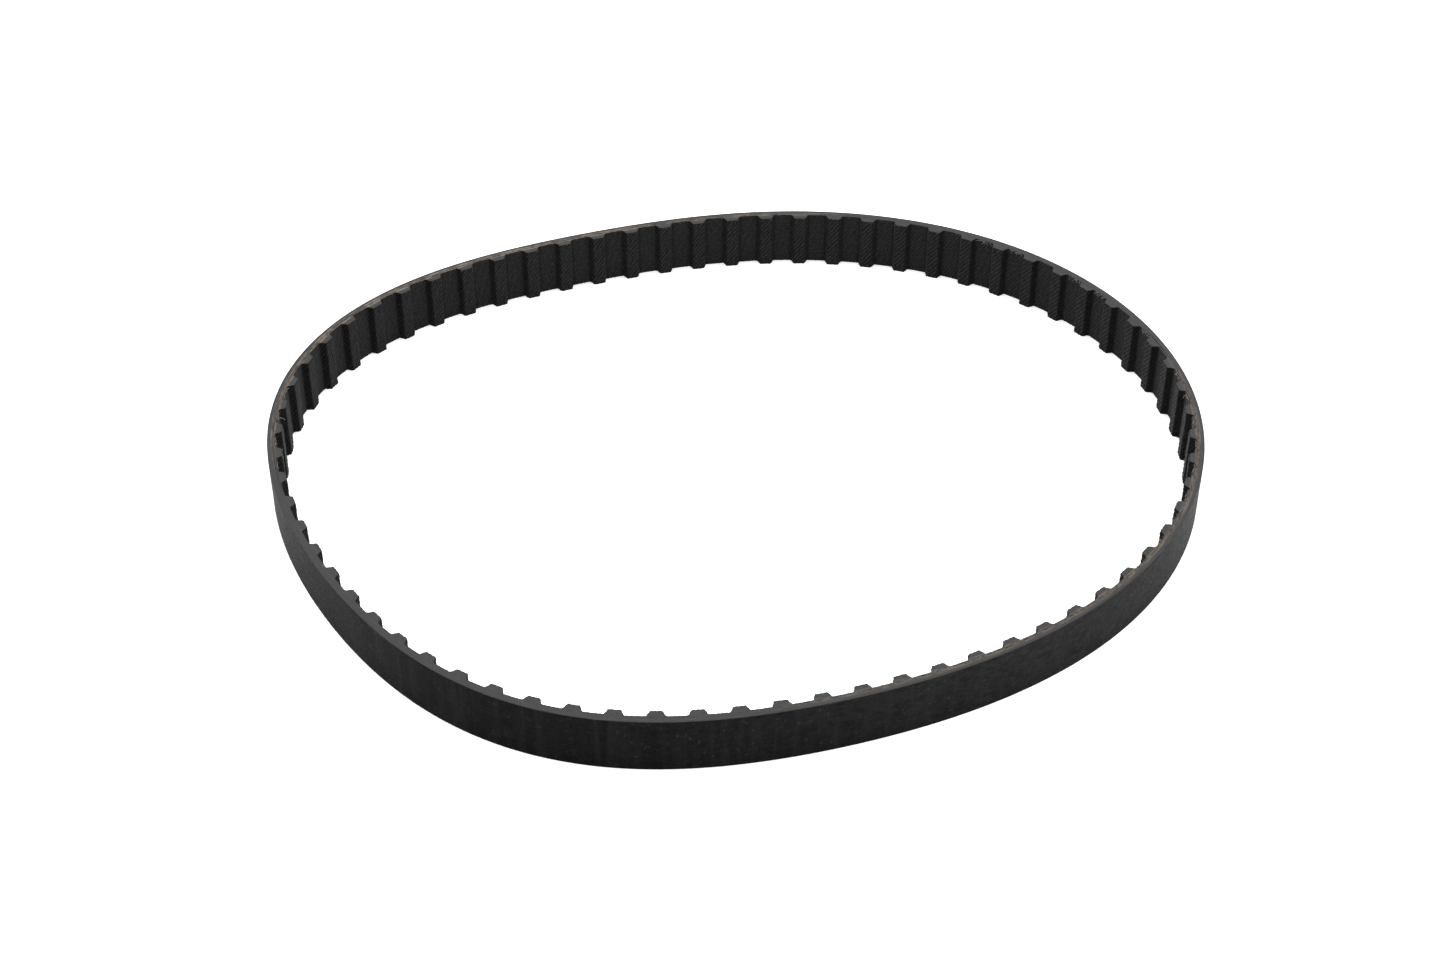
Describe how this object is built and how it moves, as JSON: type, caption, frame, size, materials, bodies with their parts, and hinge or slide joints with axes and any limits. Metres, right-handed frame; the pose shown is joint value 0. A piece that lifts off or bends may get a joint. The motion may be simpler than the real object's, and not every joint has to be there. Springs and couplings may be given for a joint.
{
  "type": "timing belt",
  "caption": "Endless rubber timing belt with trapezoidal teeth inside, standing on its edge as a relaxed oval that can be squeezed rounder or flatter.",
  "frame": {"origin": "middle of the loop on the surface that the belt's edge stands on", "axes": "+Z across the belt's width, along the pulleys' axes; +X along the relaxed loop's longer side, +Y towards its rear"},
  "size_m": [0.2354, 0.1952, 0.0155],
  "materials": {
    "backing_rubber": "ground matt black rubber with a soft sheen",
    "tension_cord": "twisted glass-fibre cord, tan, cut flush at the edge",
    "tooth_rubber": "slit black rubber, dull grey at the cut edge",
    "tooth_facing": "black woven nylon twill"
  },
  "bodies": {
    "span_01": {"backing_rubber_01": "backing_rubber", "tension_cords_01": "tension_cord", "tooth_rubber_01": "tooth_rubber", "tooth_facing_01": "tooth_facing"},
    "span_02": {"backing_rubber_02": "backing_rubber", "tension_cords_02": "tension_cord", "tooth_rubber_02": "tooth_rubber", "tooth_facing_02": "tooth_facing"},
    "span_03": {"backing_rubber_03": "backing_rubber", "tension_cords_03": "tension_cord", "tooth_rubber_03": "tooth_rubber", "tooth_facing_03": "tooth_facing"},
    "span_04": {"backing_rubber_04": "backing_rubber", "tension_cords_04": "tension_cord", "tooth_rubber_04": "tooth_rubber", "tooth_facing_04": "tooth_facing"},
    "span_05": {"backing_rubber_05": "backing_rubber", "tension_cords_05": "tension_cord", "tooth_rubber_05": "tooth_rubber", "tooth_facing_05": "tooth_facing"},
    "span_06": {"backing_rubber_06": "backing_rubber", "tension_cords_06": "tension_cord", "tooth_rubber_06": "tooth_rubber", "tooth_facing_06": "tooth_facing"},
    "span_07_08": {"backing_rubber_07": "backing_rubber", "tension_cords_07": "tension_cord", "tooth_rubber_07": "tooth_rubber", "tooth_facing_07": "tooth_facing", "backing_rubber_08": "backing_rubber", "tension_cords_08": "tension_cord", "tooth_rubber_08": "tooth_rubber", "tooth_facing_08": "tooth_facing"},
    "span_09": {"backing_rubber_09": "backing_rubber", "tension_cords_09": "tension_cord", "tooth_rubber_09": "tooth_rubber", "tooth_facing_09": "tooth_facing"},
    "span_10": {"backing_rubber_10": "backing_rubber", "tension_cords_10": "tension_cord", "tooth_rubber_10": "tooth_rubber", "tooth_facing_10": "tooth_facing"},
    "span_11": {"backing_rubber_11": "backing_rubber", "tension_cords_11": "tension_cord", "tooth_rubber_11": "tooth_rubber", "tooth_facing_11": "tooth_facing"},
    "span_12": {"backing_rubber_12": "backing_rubber", "tension_cords_12": "tension_cord", "tooth_rubber_12": "tooth_rubber", "tooth_facing_12": "tooth_facing"},
    "span_13": {"backing_rubber_13": "backing_rubber", "tension_cords_13": "tension_cord", "tooth_rubber_13": "tooth_rubber", "tooth_facing_13": "tooth_facing"},
    "span_14": {"backing_rubber_14": "backing_rubber", "tension_cords_14": "tension_cord", "tooth_rubber_14": "tooth_rubber", "tooth_facing_14": "tooth_facing"}
  },
  "joints": [
    {"name": "flex_01", "type": "hinge", "parent": "span_02", "child": "span_01", "pos_m": [-0.11546, 0.01747, 0.00775], "axis": [0, 0, -1], "range_deg": [-5.5, 8.4], "stiffness_Nm_per_rad": 0.01},
    {"name": "flex_02", "type": "hinge", "parent": "span_03", "child": "span_02", "pos_m": [-0.10764, -0.02887, 0.00775], "axis": [0, 0, -1], "range_deg": [-7.3, 11.2], "stiffness_Nm_per_rad": 0.01},
    {"name": "flex_03", "type": "hinge", "parent": "span_04", "child": "span_03", "pos_m": [-0.08149, -0.06841, 0.00775], "axis": [0, 0, -1], "range_deg": [-4, 6.1], "stiffness_Nm_per_rad": 0.01},
    {"name": "flex_04", "type": "hinge", "parent": "span_05", "child": "span_04", "pos_m": [-0.04147, -0.09308, 0.00775], "axis": [0, 0, -1], "range_deg": [-4.3, 2.8], "stiffness_Nm_per_rad": 0.01},
    {"name": "flex_05", "type": "hinge", "parent": "span_06", "child": "span_05", "pos_m": [0.00573, -0.09351, 0.00775], "axis": [0, 0, -1], "range_deg": [-12.2, 8], "stiffness_Nm_per_rad": 0.01},
    {"name": "flex_06", "type": "hinge", "parent": "span_07_08", "child": "span_06", "pos_m": [0.05097, -0.07896, 0.00775], "axis": [0, 0, -1], "range_deg": [-9.3, 6.1], "stiffness_Nm_per_rad": 0.01},
    {"name": "flex_07", "type": "hinge", "parent": "span_07_08", "child": "span_09", "pos_m": [0.11363, -0.01151, 0.00775], "axis": [0, 0, 1], "range_deg": [-6.5, 10], "stiffness_Nm_per_rad": 0.01},
    {"name": "flex_08", "type": "hinge", "parent": "span_09", "child": "span_10", "pos_m": [0.11157, 0.03538, 0.00775], "axis": [0, 0, 1], "range_deg": [-7.2, 10.9], "stiffness_Nm_per_rad": 0.01},
    {"name": "flex_09", "type": "hinge", "parent": "span_10", "child": "span_11", "pos_m": [0.08432, 0.07371, 0.00775], "axis": [0, 0, 1], "range_deg": [-3, 4.5], "stiffness_Nm_per_rad": 0.01},
    {"name": "flex_10", "type": "hinge", "parent": "span_11", "child": "span_12", "pos_m": [0.04152, 0.09354, 0.00775], "axis": [0, 0, 1], "range_deg": [-5.3, 3.5], "stiffness_Nm_per_rad": 0.01},
    {"name": "flex_11", "type": "hinge", "parent": "span_12", "child": "span_13", "pos_m": [-0.00584, 0.09416, 0.00775], "axis": [0, 0, 1], "range_deg": [-11.7, 7.6], "stiffness_Nm_per_rad": 0.01},
    {"name": "flex_12", "type": "hinge", "parent": "span_13", "child": "span_14", "pos_m": [-0.05167, 0.0815, 0.00775], "axis": [0, 0, 1], "range_deg": [-8.5, 5.5], "stiffness_Nm_per_rad": 0.01}
  ],
  "couplings": [
    {"joint": "flex_01", "follows": "flex_07", "ratio": 0.8321},
    {"joint": "flex_02", "follows": "flex_07", "ratio": 1.1052},
    {"joint": "flex_03", "follows": "flex_07", "ratio": 0.6037},
    {"joint": "flex_04", "follows": "flex_07", "ratio": -0.4227},
    {"joint": "flex_05", "follows": "flex_07", "ratio": -1.2084},
    {"joint": "flex_06", "follows": "flex_07", "ratio": -0.9218},
    {"joint": "flex_08", "follows": "flex_07", "ratio": 1.0848},
    {"joint": "flex_09", "follows": "flex_07", "ratio": 0.4428},
    {"joint": "flex_10", "follows": "flex_07", "ratio": -0.5171},
    {"joint": "flex_11", "follows": "flex_07", "ratio": -1.1604},
    {"joint": "flex_12", "follows": "flex_07", "ratio": -0.8381}
  ]
}
